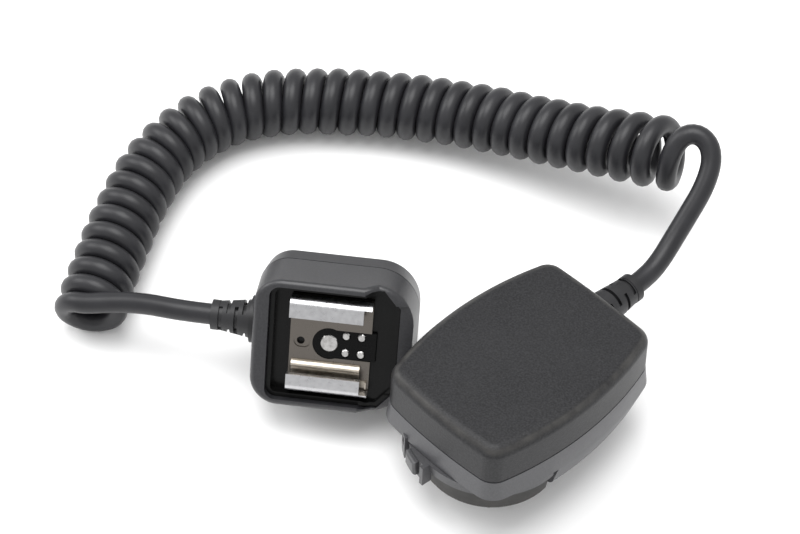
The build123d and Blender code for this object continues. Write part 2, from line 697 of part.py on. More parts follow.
flash_cable_clamp = cable_clamp(shifted(relief_out_flash, z=-FLASH_WALL - RELIEF_FLANGE - CLAMP_LENGTH - 0.5))
flash_cable_clamp.label = "flash_cable_clamp"
export_step(flash_cable_clamp, "parts/flash_cable_clamp.step")

# ================================================================ camera head, housing
pivot = shifted(camera, *LEVER_PIVOT)
foot = shifted(camera, y=FOOT_Y)
lock_pin_at = shifted(foot, y=LOCK_PIN_Y)
boot_top = LEVER_BOTTOM - LEVER_GAP
relief_out_camera = along_y(camera, x=RELIEF_X, y=CAMERA_FRONT + FRONT_BOW, z=CAMERA_SEAM)
front_screws = [(-11.5, 17.5), (11.5, 17.5)]
rear_screws = [(-8.5, -17.5), (8.5, -17.5)]
cover_height = CAMERA_TOP - CAMERA_SEAM
floor_top = LIP_BOTTOM + CAMERA_FLOOR

with BuildPart() as camera_top_cover:
    with BuildSketch(camera.offset(CAMERA_SEAM)):
        add(camera_outline())
    extrude(amount=cover_height, taper=COVER_DRAFT)
    fillet(camera_top_cover.faces().sort_by(camera_up)[-1].edges(), COVER_EDGE)
    with BuildSketch(camera.offset(CAMERA_SEAM)):
        add(camera_outline(-CAMERA_WALL))
    extrude(amount=cover_height - CAMERA_WALL, taper=COVER_DRAFT, mode=Mode.SUBTRACT)
    for x, y in front_screws + rear_screws:
        with BuildSketch(shifted(camera, x, y, CAMERA_SEAM)):
            Circle(BOSS_RADIUS)
        extrude(amount=cover_height - CAMERA_WALL)
        with BuildSketch(shifted(camera, x, y, CAMERA_SEAM)):
            Circle(HOUSING_SCREW_RADIUS)
        extrude(amount=cover_height - CAMERA_WALL - 1.5, mode=Mode.SUBTRACT)
    add(relief_seat(relief_out_camera, CAMERA_WALL), mode=Mode.SUBTRACT)
camera_top_cover.part.label = "camera_top_cover"
export_step(camera_top_cover.part, "parts/camera_top_cover.step")

with BuildPart() as camera_lower_housing:
    # lip around the whole plan, flaring outwards to its lower edge
    with BuildSketch(camera.offset(LIP_BOTTOM)):
        add(camera_outline(LIP_FLARE))
    with BuildSketch(camera.offset(CAMERA_SEAM)):
        add(camera_outline())
    loft()
    # deeper hull in front of the boot, drawn in towards the bottom
    with BuildPart(mode=Mode.PRIVATE) as hull:
        with BuildSketch(camera.offset(HULL_BOTTOM)):
            add(camera_outline(-HULL_DRAW_IN))
        with BuildSketch(camera.offset(LIP_BOTTOM)):
            add(camera_outline(LIP_FLARE))
        loft()
        fillet(hull.faces().sort_by(camera_up)[0].edges(), HULL_ROUND)
        with BuildSketch(camera.offset(HULL_BOTTOM)):
            with Locations((0, HULL_REAR - CAMERA_FRONT)):
                Rectangle(4 * SIDE_HALF_WIDTH, 2 * CAMERA_FRONT)
        extrude(amount=LIP_BOTTOM - HULL_BOTTOM, mode=Mode.SUBTRACT)
    add(hull.part)
    # bay for the foot block, track for the lever ring, and the boot's seat
    with BuildSketch(pivot.offset(HULL_BOTTOM)):
        Circle(PLINTH_RADIUS + FIT)
    extrude(amount=LIP_BOTTOM - HULL_BOTTOM, mode=Mode.SUBTRACT)
    with BuildSketch(pivot.offset(boot_top)):
        Circle(LEVER_RADIUS + LEVER_GAP)
    extrude(amount=LIP_BOTTOM - boot_top, mode=Mode.SUBTRACT)
    # hollow inside
    with BuildSketch(camera.offset(floor_top)):
        add(camera_outline(-CAMERA_WALL))
    extrude(amount=CAMERA_SEAM - floor_top, mode=Mode.SUBTRACT)
    with BuildSketch(camera.offset(HULL_BOTTOM + CAMERA_WALL)):
        add(camera_outline(-CAMERA_WALL - HULL_DRAW_IN))
        with Locations((0, NOSE_BULKHEAD - CAMERA_FRONT)):
            Rectangle(4 * SIDE_HALF_WIDTH, 2 * CAMERA_FRONT, mode=Mode.SUBTRACT)
    extrude(amount=CAMERA_SEAM - HULL_BOTTOM, mode=Mode.SUBTRACT)
    for x, y in front_screws:
        with BuildSketch(shifted(camera, x, y, HULL_BOTTOM)):
            Circle(BOSS_RADIUS + 0.6)
        extrude(amount=CAMERA_SEAM - HULL_BOTTOM)
        with BuildSketch(shifted(camera, x, y, HULL_BOTTOM)):
            Circle(HOUSING_SCREW_RADIUS + FIT)
        extrude(amount=CAMERA_SEAM - HULL_BOTTOM, mode=Mode.SUBTRACT)
        with BuildSketch(shifted(camera, x, y, HULL_BOTTOM)):
            Circle(HOUSING_SCREW_HEAD + 0.2)
        extrude(amount=FRONT_SCREW_SINK, mode=Mode.SUBTRACT)
    for x, y in rear_screws:
        with BuildSketch(shifted(camera, x, y, LIP_BOTTOM)):
            Circle(BOSS_RADIUS)
        extrude(amount=CAMERA_SEAM - LIP_BOTTOM)
        with BuildSketch(shifted(camera, x, y, LIP_BOTTOM)):
            Circle(HOUSING_SCREW_RADIUS + FIT)
        extrude(amount=CAMERA_SEAM - LIP_BOTTOM, mode=Mode.SUBTRACT)
        with BuildSketch(shifted(camera, x, y, LIP_BOTTOM)):
            Circle(HOUSING_SCREW_HEAD + 0.2)
        extrude(amount=SCREW_HEAD_HEIGHT + 0.2, mode=Mode.SUBTRACT)
    with BuildSketch(foot.offset(LIP_BOTTOM)):
        with Locations((0, -2.5)):
            Rectangle(PIN_BAY_WIDTH, PIN_BAY_LENGTH)
    extrude(amount=CAMERA_FLOOR, mode=Mode.SUBTRACT)
    with BuildSketch(lock_pin_at.offset(LIP_BOTTOM)):
        Circle(LOCK_PIN_RADIUS + 0.5)
    extrude(amount=CAMERA_FLOOR, mode=Mode.SUBTRACT)
    # fixed stop for the lever, a lug below the lip with a notch in its edge
    with BuildSketch(pivot.offset(STOP_BOTTOM)):
        add(ring_sector(LEVER_RADIUS + LEVER_GAP + 0.1, STOP_RADIUS, STOP_FIRST, STOP_LAST))
    extrude(amount=LIP_BOTTOM + 1.0 - STOP_BOTTOM)
    with BuildSketch(pivot.offset(LIP_BOTTOM - 2.4)):
        stop_middle = (STOP_FIRST + STOP_LAST) / 2
        add(ring_sector(STOP_RADIUS - 0.8, STOP_RADIUS + 2, stop_middle - 2, stop_middle + 2))
    extrude(amount=2.4, mode=Mode.SUBTRACT)
    # shadow groove along the seam
    with BuildSketch(camera.offset(CAMERA_SEAM - SEAM_GROOVE_HEIGHT)):
        add(camera_outline(LIP_FLARE))
        add(camera_outline(-SEAM_GROOVE_DEPTH), mode=Mode.SUBTRACT)
    extrude(amount=SEAM_GROOVE_HEIGHT, mode=Mode.SUBTRACT)
    add(relief_seat(relief_out_camera, CAMERA_WALL), mode=Mode.SUBTRACT)
camera_lower_housing.part.label = "camera_lower_housing"
export_step(camera_lower_housing.part, "parts/camera_lower_housing.step")

camera_housing_screws = Compound(
    children=[
        screw(
            camera.offset(HULL_BOTTOM + FRONT_SCREW_SINK),
            front_screws,
            HOUSING_SCREW_RADIUS,
            CAMERA_SEAM + 5 - HULL_BOTTOM - FRONT_SCREW_SINK,
            HOUSING_SCREW_HEAD,
            SCREW_HEAD_HEIGHT,
        ),
        screw(
            camera.offset(LIP_BOTTOM + SCREW_HEAD_HEIGHT + 0.2),
            rear_screws,
            HOUSING_SCREW_RADIUS,
            CAMERA_SEAM + 5 - LIP_BOTTOM - SCREW_HEAD_HEIGHT - 0.2,
            HOUSING_SCREW_HEAD,
            SCREW_HEAD_HEIGHT,
        ),
    ]
)
camera_housing_screws.label = "camera_housing_screws"
export_step(camera_housing_screws, "parts/camera_housing_screws.step")

# ================================================================ camera head, foot
with BuildPart() as foot_block:
    # plinth below the housing's floor: guides the lever ring and carries the foot
    with BuildSketch(pivot.offset(BLOCK_BOTTOM)):
        Circle(PLINTH_RADIUS)
    extrude(amount=LIP_BOTTOM - BLOCK_BOTTOM)
    # window through which the ring's tongue reaches the lock pin
    with BuildSketch(pivot.offset(LEVER_BOTTOM - 0.1)):
        add(ring_sector(TONGUE_TIP - 0.4, PLINTH_RADIUS + 1, WINDOW_FIRST, WINDOW_LAST))
    extrude(amount=LIP_BOTTOM - LEVER_BOTTOM, mode=Mode.SUBTRACT)
    with BuildSketch(lock_pin_at.offset(BLOCK_BOTTOM)):
        Circle(LOCK_PIN_RADIUS + BORE_CLEARANCE)
    extrude(amount=LIP_BOTTOM - BLOCK_BOTTOM, mode=Mode.SUBTRACT)
    with BuildSketch(foot.offset(PIN_BAY_FLOOR)):
        with Locations((0, -2.5)):
            Rectangle(PIN_BAY_WIDTH, PIN_BAY_LENGTH)
    extrude(amount=LIP_BOTTOM - PIN_BAY_FLOOR, mode=Mode.SUBTRACT)
    with BuildSketch(foot.offset(BLOCK_BOTTOM)):
        Circle(FOOT_PIN_RADIUS + BORE_CLEARANCE)
        for row in DATA_CONTACT_ROWS:
            for x in (-DATA_CONTACT_OFFSET, DATA_CONTACT_OFFSET):
                with Locations((x, -row)):
                    Circle(FOOT_DATA_PIN_RADIUS + BORE_CLEARANCE)
    extrude(amount=PIN_BAY_FLOOR - BLOCK_BOTTOM, mode=Mode.SUBTRACT)
    for x, y in foot_screw_places:
        with BuildSketch(shifted(foot, x, y, BLOCK_BOTTOM)):
            Circle(FOOT_SCREW_RADIUS)
        extrude(amount=FOOT_SCREW_BITE, mode=Mode.SUBTRACT)
foot_block.part.label = "foot_block"
export_step(foot_block.part, "parts/foot_block.step")

with BuildPart() as mounting_foot:
    with BuildSketch(foot):
        RectangleRounded(FOOT_WIDTH, FOOT_LENGTH, 1.0)
    extrude(amount=FOOT_PLATE)
    chamfer(mounting_foot.edges().group_by(camera_up)[0], 0.3)
    with BuildSketch(foot.offset(FOOT_PLATE)):
        RectangleRounded(FOOT_NECK_WIDTH, FOOT_LENGTH - 1.0, 1.0)
    extrude(amount=BLOCK_BOTTOM - FOOT_PLATE)
    with BuildSketch(foot):
        with Locations((0, -2.0)):
            RectangleRounded(INSERT_WIDTH + 2 * FIT, INSERT_LENGTH + 2 * FIT, 1.2)
    extrude(amount=BLOCK_BOTTOM, mode=Mode.SUBTRACT)
    with BuildSketch(lock_pin_at):
        Circle(LOCK_PIN_RADIUS + BORE_CLEARANCE)
    extrude(amount=BLOCK_BOTTOM, mode=Mode.SUBTRACT)
    for x, y in foot_screw_places:
        with BuildSketch(shifted(foot, x, y)):
            Circle(FOOT_SCREW_RADIUS + FIT)
        extrude(amount=BLOCK_BOTTOM, mode=Mode.SUBTRACT)
        with BuildSketch(shifted(foot, x, y)):
            Circle(FOOT_SCREW_HEAD + 0.1)
        extrude(amount=FOOT_SCREW_HEAD_HEIGHT + 0.1, mode=Mode.SUBTRACT)
mounting_foot.part.label = "mounting_foot"
export_step(mounting_foot.part, "parts/mounting_foot.step")

with BuildPart() as foot_pin_insulator:
    with BuildSketch(foot):
        with Locations((0, -2.0)):
            RectangleRounded(INSERT_WIDTH, INSERT_LENGTH, 1.2)
        Circle(FOOT_PIN_RADIUS + BORE_CLEARANCE, mode=Mode.SUBTRACT)
        for row in DATA_CONTACT_ROWS:
            for x in (-DATA_CONTACT_OFFSET, DATA_CONTACT_OFFSET):
                with Locations((x, -row)):
                    Circle(FOOT_DATA_PIN_RADIUS + BORE_CLEARANCE, mode=Mode.SUBTRACT)
    extrude(amount=BLOCK_BOTTOM)
foot_pin_insulator.part.label = "foot_pin_insulator"
export_step(foot_pin_insulator.part, "parts/foot_pin_insulator.step")

foot_screws = screw(
    foot.offset(FOOT_SCREW_HEAD_HEIGHT + 0.1),
    foot_screw_places,
    FOOT_SCREW_RADIUS,
    BLOCK_BOTTOM + FOOT_SCREW_BITE - FOOT_SCREW_HEAD_HEIGHT - 0.4,
    FOOT_SCREW_HEAD,
    FOOT_SCREW_HEAD_HEIGHT,
)
foot_screws.label = "foot_screws"
export_step(foot_screws, "parts/foot_screws.step")


def contact_pin(plane, radius):
    """Headed contact pin that stands out below the foot and has its head in the pin bay."""
    with BuildPart() as pin:
        with BuildSketch(plane.offset(-PIN_STANDS_OUT)):
            Circle(radius)
        extrude(amount=PIN_BAY_FLOOR + PIN_STANDS_OUT)
        fillet(pin.edges().sort_by(camera_up)[0], 0.6 * radius)
        with BuildSketch(plane.offset(PIN_BAY_FLOOR)):
            Circle(radius + PIN_HEAD_RIM)
        extrude(amount=PIN_HEAD)
    return pin.part


foot_center_pin = contact_pin(foot, FOOT_PIN_RADIUS)
foot_center_pin.label = "foot_center_pin"
export_step(foot_center_pin, "parts/foot_center_pin.step")

foot_data_pins = Compound(
    children=[
        contact_pin(shifted(foot, x, -row), FOOT_DATA_PIN_RADIUS)
        for row in DATA_CONTACT_ROWS
        for x in (-DATA_CONTACT_OFFSET, DATA_CONTACT_OFFSET)
    ]
)
foot_data_pins.label = "foot_data_pins"
export_step(foot_data_pins, "parts/foot_data_pins.step")

with BuildPart() as pin_contact_pads:
    # contact springs on the board's underside: one leaf over each pin head
    with BuildSketch(foot.offset(BOARD_BOTTOM - LEAF_SHEET)):
        Circle(FOOT_PIN_RADIUS + PIN_HEAD_RIM)
        for row in DATA_CONTACT_ROWS:
            for x in (-DATA_CONTACT_OFFSET, DATA_CONTACT_OFFSET):
                with Locations((x, -row)):
                    Circle(FOOT_DATA_PIN_RADIUS + PIN_HEAD_RIM)
    extrude(amount=LEAF_SHEET)
pin_contact_pads.part.label = "pin_contact_pads"
export_step(pin_contact_pads.part, "parts/pin_contact_pads.step")


def spring_sleeve(plane, outer, bottom, top):
    """Envelope of a close-wound compression spring, as a thin tube."""
    with BuildPart() as sleeve:
        with BuildSketch(plane.offset(bottom)):
            Circle(outer)
            Circle(outer - SPRING_WIRE, mode=Mode.SUBTRACT)
        extrude(amount=top - bottom)
    return sleeve.part


spring_bottom = PIN_BAY_FLOOR + PIN_HEAD
spring_top = BOARD_BOTTOM - LEAF_SHEET
center_pin_spring = spring_sleeve(foot, FOOT_PIN_RADIUS, spring_bottom, spring_top)
center_pin_spring.label = "center_pin_spring"
export_step(center_pin_spring, "parts/center_pin_spring.step")

data_pin_springs = Compound(
    children=[
        spring_sleeve(shifted(foot, x, -row), FOOT_DATA_PIN_RADIUS, spring_bottom, spring_top)
        for row in DATA_CONTACT_ROWS
        for x in (-DATA_CONTACT_OFFSET, DATA_CONTACT_OFFSET)
    ]
)
data_pin_springs.label = "data_pin_springs"
export_step(data_pin_springs, "parts/data_pin_springs.step")

with BuildPart() as lock_pin:
    with BuildSketch(lock_pin_at.offset(LOCK_PIN_TIP)):
        Circle(LOCK_PIN_RADIUS)
    extrude(amount=LOCK_PIN_TOP - LOCK_PIN_TIP)
    fillet(lock_pin.edges().sort_by(camera_up)[0], 0.3)
lock_pin.part.label = "lock_pin"
export_step(lock_pin.part, "parts/lock_pin.step")

with BuildPart() as foot_boot:
    # rubber boot around the rear of the foot, rounded in towards the camera
    with BuildSketch(pivot.offset(BOOT_BOTTOM)):
        Circle(BOOT_RADIUS - BOOT_DRAW_IN)
    with BuildSketch(pivot.offset(boot_top)):
        Circle(BOOT_RADIUS)
    loft()
    fillet(foot_boot.faces().sort_by(camera_up)[0].edges(), BOOT_ROUND)
    with BuildSketch(pivot.offset(BOOT_BOTTOM)):
        Circle(PLINTH_RADIUS + FIT)
    extrude(amount=boot_top - BOOT_BOTTOM, mode=Mode.SUBTRACT)
    with BuildSketch(camera.offset(BOOT_BOTTOM)):
        with Locations((0, HULL_REAR - FIT + CAMERA_FRONT)):
            Rectangle(4 * SIDE_HALF_WIDTH, 2 * CAMERA_FRONT)
    extrude(amount=boot_top, mode=Mode.SUBTRACT)
foot_boot.part.label = "foot_boot"
export_step(foot_boot.part, "parts/foot_boot.step")

# ================================================================ camera head, lock lever
lever_inner = PLINTH_RADIUS + BORE_CLEARANCE
with BuildPart() as lock_lever:
    with BuildSketch(pivot.offset(LEVER_BOTTOM)):
        Circle(LEVER_RADIUS)
        Circle(lever_inner, mode=Mode.SUBTRACT)
    extrude(amount=LIP_BOTTOM - LEVER_GAP - LEVER_BOTTOM)
    # tongue to the lock pin
    with BuildSketch(pivot.offset(LEVER_BOTTOM)):
        add(ring_sector(TONGUE_TIP, lever_inner + 0.5, TONGUE_ANGLE - 8, TONGUE_ANGLE + 8))
    extrude(amount=LIP_BOTTOM - LEVER_GAP - LEVER_BOTTOM)
    # thumb piece that hangs in front of the boot, with a rib at its leading edge
    with BuildSketch(pivot.offset(THUMB_BOTTOM)):
        add(ring_sector(BOOT_RADIUS + 0.4, THUMB_RADIUS, THUMB_FIRST, THUMB_LAST))
    extrude(amount=LIP_BOTTOM - LEVER_GAP - THUMB_BOTTOM)
    with BuildSketch(pivot.offset(THUMB_BOTTOM)):
        add(ring_sector(LEVER_RADIUS - 0.5, RIB_RADIUS, THUMB_LAST - RIB_WIDTH, THUMB_LAST))
    extrude(amount=LIP_BOTTOM - LEVER_GAP - THUMB_BOTTOM)
    # pocket for the release button
    with BuildSketch(pivot.offset(THUMB_BOTTOM + 0.5)):
        add(ring_sector(BUTTON_SEAT, RIB_RADIUS + 2, BUTTON_FIRST - 0.4, BUTTON_LAST + 0.4))
    extrude(amount=LIP_BOTTOM - LEVER_GAP - THUMB_BOTTOM - 1.0, mode=Mode.SUBTRACT)
lock_lever.part.label = "lock_lever"
export_step(lock_lever.part, "parts/lock_lever.step")

with BuildPart() as lock_release_button:
    with BuildSketch(pivot.offset(THUMB_BOTTOM + 0.7)):
        add(ring_sector(BUTTON_SEAT + BUTTON_TRAVEL, BUTTON_RADIUS, BUTTON_FIRST, BUTTON_LAST))
    extrude(amount=LIP_BOTTOM - LEVER_GAP - THUMB_BOTTOM - 1.4)
    button_front = lock_release_button.faces().sort_by(lambda f: reach_from(pivot, f.center()))[-1]
    fillet(button_front.edges(), BUTTON_ROUND)
lock_release_button.part.label = "lock_release_button"
export_step(lock_release_button.part, "parts/lock_release_button.step")

# ================================================================ camera head, electrics and cord exit
with BuildPart() as camera_circuit_board:
    with BuildSketch(foot.offset(BOARD_BOTTOM)):
        with Locations((0, -2.5)):
            Rectangle(BOARD_WIDTH, BOARD_LENGTH)
    extrude(amount=BOARD_THICKNESS)
camera_circuit_board.part.label = "camera_circuit_board"
export_step(camera_circuit_board.part, "parts/camera_circuit_board.step")

camera_strain_relief = relief(relief_out_camera, CAMERA_WALL, CAMERA_RELIEF_LENGTH)
camera_strain_relief.label = "camera_strain_relief"
export_step(camera_strain_relief, "parts/camera_strain_relief.step")

camera_cable_clamp = cable_clamp(shifted(relief_out_camera, z=-CAMERA_WALL - RELIEF_FLANGE - CLAMP_LENGTH - 0.5))
camera_cable_clamp.label = "camera_cable_clamp"
export_step(camera_cable_clamp, "parts/camera_cable_clamp.step")


def cord_tail(plane, wall, length):
    """The cord's end inside the housing, from the relief's inner flange through the clamp."""
    with BuildPart() as tail:
        with BuildSketch(shifted(plane, z=-wall - RELIEF_FLANGE - CLAMP_LENGTH - 1.5)):
            Circle(CORD_RADIUS)
        extrude(amount=wall + RELIEF_FLANGE + CLAMP_LENGTH + 1.5 + length)
    return tail.part


flash_cord_tail = cord_tail(relief_out_flash, FLASH_WALL, FLASH_RELIEF_LENGTH)
flash_cord_tail.label = "flash_cord_tail"
export_step(flash_cord_tail, "parts/flash_cord_tail.step")

camera_cord_tail = cord_tail(relief_out_camera, CAMERA_WALL, CAMERA_RELIEF_LENGTH)
camera_cord_tail.label = "camera_cord_tail"
export_step(camera_cord_tail, "parts/camera_cord_tail.step")

# ================================================================ cord
flash_mouth = shifted(relief_out_flash, z=FLASH_RELIEF_LENGTH)
camera_mouth = shifted(relief_out_camera, z=CAMERA_RELIEF_LENGTH)


def rounded_route(points):
    """Largest tangent arc at each corner: 0.45 of the shorter run over the half turn's tangent."""
    route = [Vector(*point) for point in points]
    radii = []
    for before, corner, after in zip(route, route[1:], route[2:]):
        turn = (corner - before).get_angle(after - corner)
        run = min((corner - before).length, (after - corner).length)
        radii.append(0.45 * run / math.tan(math.radians(turn) / 2))
    return route, radii


def tube(name, points, radius):
    """Round tube along straight runs joined by tangent arcs."""
    route, radii = rounded_route(points)
    start = Plane(origin=route[0], z_dir=route[1] - route[0])
    with BuildPart() as cord:
        with BuildLine() as path:
            FilletPolyline(*route, radius=radii)
        with BuildSketch(start):
            Circle(radius)
        sweep(path=path.wire())
    expected = math.pi * radius**2 * path.wire().length
    print(name, "length", round(path.wire().length, 1), "volume ratio", round(cord.part.volume / expected, 4))
    print(name, "radii", [round(value, 1) for value in radii])
    return cord.part


coil_route = [
    (-72.4, 21.3, 7.5),
    (-67.5, 45.3, 7.5),
    (-58.0, 68.3, 7.5),
    (-40.0, 79.8, 7.5),
    (-14.0, 79.8, 7.6),
    (11.0, 74.3, 9.5),
    (34.5, 62.8, 15.5),
    (60.1, 51.0, 23.8),
]
flash_lead_route = [
    tuple(flash_mouth.origin),
    tuple(flash_mouth.origin + 7.0 * flash_mouth.z_dir),
    (-59.5, 20.9, 14.6),
    (-68.3, 23.5, 13.3),
]
camera_lead_route = [
    tuple(camera_mouth.origin),
    tuple(camera_mouth.origin + 5.0 * camera_mouth.z_dir),
    (50.0, 31.9, 15.0),
    (52.8, 36.6, 17.4),
    (55.9, 41.0, 21.9),
    (58.7, 45.9, 26.6),
    (59.7, 51.0, 29.3),
]
curly_cord = tube("curly_cord", coil_route, COIL_RADIUS)
curly_cord.label = "curly_cord"
export_step(curly_cord, "parts/curly_cord.step")

flash_lead = tube("flash_lead", flash_lead_route, CORD_RADIUS)
flash_lead.label = "flash_lead"
export_step(flash_lead, "parts/flash_lead.step")

camera_lead = tube("camera_lead", camera_lead_route, CORD_RADIUS)
camera_lead.label = "camera_lead"
export_step(camera_lead, "parts/camera_lead.step")
print("flash mouth", flash_mouth.origin, "camera mouth", camera_mouth.origin)
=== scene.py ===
import json
import math

import bpy
import numpy as np
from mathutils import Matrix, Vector


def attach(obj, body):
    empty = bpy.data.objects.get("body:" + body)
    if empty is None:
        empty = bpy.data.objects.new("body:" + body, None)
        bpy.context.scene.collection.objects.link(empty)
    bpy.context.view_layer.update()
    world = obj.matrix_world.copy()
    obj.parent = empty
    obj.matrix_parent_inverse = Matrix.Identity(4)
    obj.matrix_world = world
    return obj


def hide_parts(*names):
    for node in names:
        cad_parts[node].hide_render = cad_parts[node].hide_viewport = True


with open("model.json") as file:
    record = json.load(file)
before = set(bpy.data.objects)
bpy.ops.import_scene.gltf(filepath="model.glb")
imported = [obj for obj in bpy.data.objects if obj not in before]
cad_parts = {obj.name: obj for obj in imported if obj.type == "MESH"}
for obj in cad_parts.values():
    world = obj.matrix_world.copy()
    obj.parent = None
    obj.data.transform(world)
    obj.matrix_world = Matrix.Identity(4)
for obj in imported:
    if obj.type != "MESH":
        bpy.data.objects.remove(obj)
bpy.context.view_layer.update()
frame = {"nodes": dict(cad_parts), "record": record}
nodes = frame["nodes"]
record = frame["record"]
scene = bpy.context.scene
scene.view_settings.view_transform = "Standard"

MM = 0.001

# ---------------------------------------------------------------- camera and light
VIEW_CENTRE = Vector((-5.8, 39.25, 0.0)) * MM
VIEW_DISTANCE = 497 * MM
VIEW_ELEVATION = math.radians(56)
LENS = 101.25
SENSOR = 36.0
WHITE = (1, 1, 1, 1)
SURROUNDINGS_STRENGTH = 0.88
FLOOR_SIZE = 6.0
FLOOR_COLOUR = (0.93, 0.93, 0.93, 1)
FLOOR_ROUGHNESS = 0.6

# ---------------------------------------------------------------- features in a metre of noise
GRAIN = 2600
RUBBER_GRAIN = 3200
METAL_MOTTLE = 900
RUBBER_SHEEN = 700
EDGE_WEAR_AND_HIGHLIGHT = 260
RUBBER_BLOOM = 140
HANDLING = 90

# ---------------------------------------------------------------- meshes of the CAD parts
SHARP_ANGLE = math.radians(32)
WELD_DISTANCE = 0.002 * MM

# ---------------------------------------------------------------- cord
CORD_RADIUS = 2.25 * MM
COIL_RADIUS = 7.4 * MM  # to the outside of a turn
FIRST_ANGLE = math.pi / 2
POINTS_PER_TURN = 16
STEPS = 571  # points along the helix, at POINTS_PER_TURN in each turn
TURN_SPACING = 4.5  # mm from turn to turn
LAST_SPACING = 5.6  # mm, at the end by the camera head
LAST_STRETCH = 24.0  # mm of the coil over which the turns open
UNEVENNESS = 0.01
UNEVENNESS_RATE = 1.7
COIL_END_GAP = 7.8  # mm from the last turn to the route's end
COIL_WIDENING = 1.06
END_GROWTH = 0.12
ROUTE_RESOLUTION = 60
HEADING_REACH = 1.5  # mm either way, to find which way the route runs

# Control points in mm, in the shared frame.
COIL_ROUTE = [
    (-72.4, 21.3, 7.5),
    (-67.5, 45.3, 7.5),
    (-58.0, 68.3, 7.5),
    (-40.0, 79.8, 7.5),
    (-14.0, 79.8, 7.6),
    (11.0, 74.3, 9.5),
    (34.5, 62.8, 15.5),
    (60.1, 51.0, 23.8),
]
FLASH_LEAD = [(-52.1, 18.1, 15.1), (-58.6, 20.0, 14.6), (-65.0, 21.2, 13.6)]
CAMERA_LEAD = [
    (51.9, 50.2, 24.6),
    (53.2, 52.3, 27.9),
    (55.5, 53.6, 29.6),
    (58.2, 53.1, 29.9),
    (60.2, 51.2, 28.9),
    (60.7, 48.6, 27.2),
    (60.0, 45.8, 25.5),
    (58.4, 42.6, 23.3),
    (56.0, 39.4, 20.8),
    (53.0, 35.4, 17.8),
    (50.0, 31.0, 15.6),
    (47.0, 27.3, 14.6),
]
CORD_START = Vector((-45.16, 17.13, 15.11)) * MM
CORD_END = Vector((43.47, 23.97, 15.10)) * MM


def add_camera():
    """A long lens that looks down on the object from the front."""
    data = bpy.data.cameras.new("view_camera")
    data.lens = LENS
    data.sensor_width = SENSOR
    data.clip_start = 0.01
    camera = bpy.data.objects.new("view_camera", data)
    direction = Vector((0, -math.cos(VIEW_ELEVATION), math.sin(VIEW_ELEVATION)))
    camera.location = VIEW_CENTRE + VIEW_DISTANCE * direction
    camera.rotation_euler = (math.pi / 2 - VIEW_ELEVATION, 0, 0)
    scene.collection.objects.link(camera)
    scene.camera = camera


def add_light(name, at, size, power):
    """A square soft box that faces the middle of the object."""
    data = bpy.data.lights.new(name, "AREA")
    data.shape = "SQUARE"
    data.size = size
    data.energy = power
    light = bpy.data.objects.new(name, data)
    light.location = Vector(at)
    aim = VIEW_CENTRE - light.location
    light.rotation_euler = aim.to_track_quat("-Z", "Y").to_euler()
    scene.collection.objects.link(light)


def add_studio():
    """White floor, white surroundings and soft boxes above."""
    world = bpy.data.worlds.new("white_studio")
    world.use_nodes = True
    background = world.node_tree.nodes["Background"]
    background.inputs["Color"].default_value = WHITE
    background.inputs["Strength"].default_value = SURROUNDINGS_STRENGTH
    scene.world = world
    add_light("soft_box_top", (-0.05, 0.12, 0.75), 0.55, 5.0)
    add_light("soft_box_left", (-0.6, 0.25, 0.45), 0.4, 2.0)
    bpy.ops.mesh.primitive_plane_add(size=FLOOR_SIZE, location=(0, 0, 0))
    floor = bpy.context.object
    floor.name = "studio_floor"
    material = bpy.data.materials.new("white_floor")
    material.use_nodes = True
    shader = material.node_tree.nodes["Principled BSDF"]
    shader.inputs["Base Color"].default_value = FLOOR_COLOUR
    shader.inputs["Roughness"].default_value = FLOOR_ROUGHNESS
    floor.data.materials.append(material)


